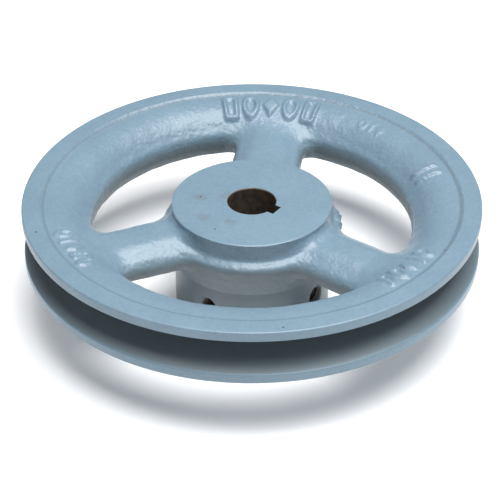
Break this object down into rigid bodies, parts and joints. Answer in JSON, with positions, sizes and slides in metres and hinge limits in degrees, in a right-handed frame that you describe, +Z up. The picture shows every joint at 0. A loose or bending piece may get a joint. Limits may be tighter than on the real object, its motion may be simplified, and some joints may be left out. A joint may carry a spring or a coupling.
{
  "type": "v belt pulley",
  "caption": "Cast iron V belt pulley with one groove, three arms and a stepped hub that is bored, keyed and held by set screws.",
  "frame": {"origin": "on the bore axis, at the middle of the belt groove's width", "axes": "+Z up along the bore axis, away from the hub's long end; +X out through the middle of the keyway"},
  "size_m": [0.1511, 0.1512, 0.0405],
  "materials": {
    "casting": "blue-grey machinery enamel over cast iron, satin",
    "screw_steel": "black oxide alloy steel"
  },
  "bodies": {
    "pulley": {"pulley_casting": "casting"},
    "keyway_screw": {"set_screw_keyway": "screw_steel"},
    "side_screw": {"set_screw_side": "screw_steel"}
  },
  "joints": [
    {"name": "keyway_screw_travel", "type": "slide", "parent": "pulley", "child": "keyway_screw", "axis": [1, 0, 0], "range_m": [-0.00127, 0.0127]},
    {"name": "side_screw_travel", "type": "slide", "parent": "pulley", "child": "side_screw", "axis": [0, -1, 0], "range_m": [-0.00127, 0.0127]}
  ]
}
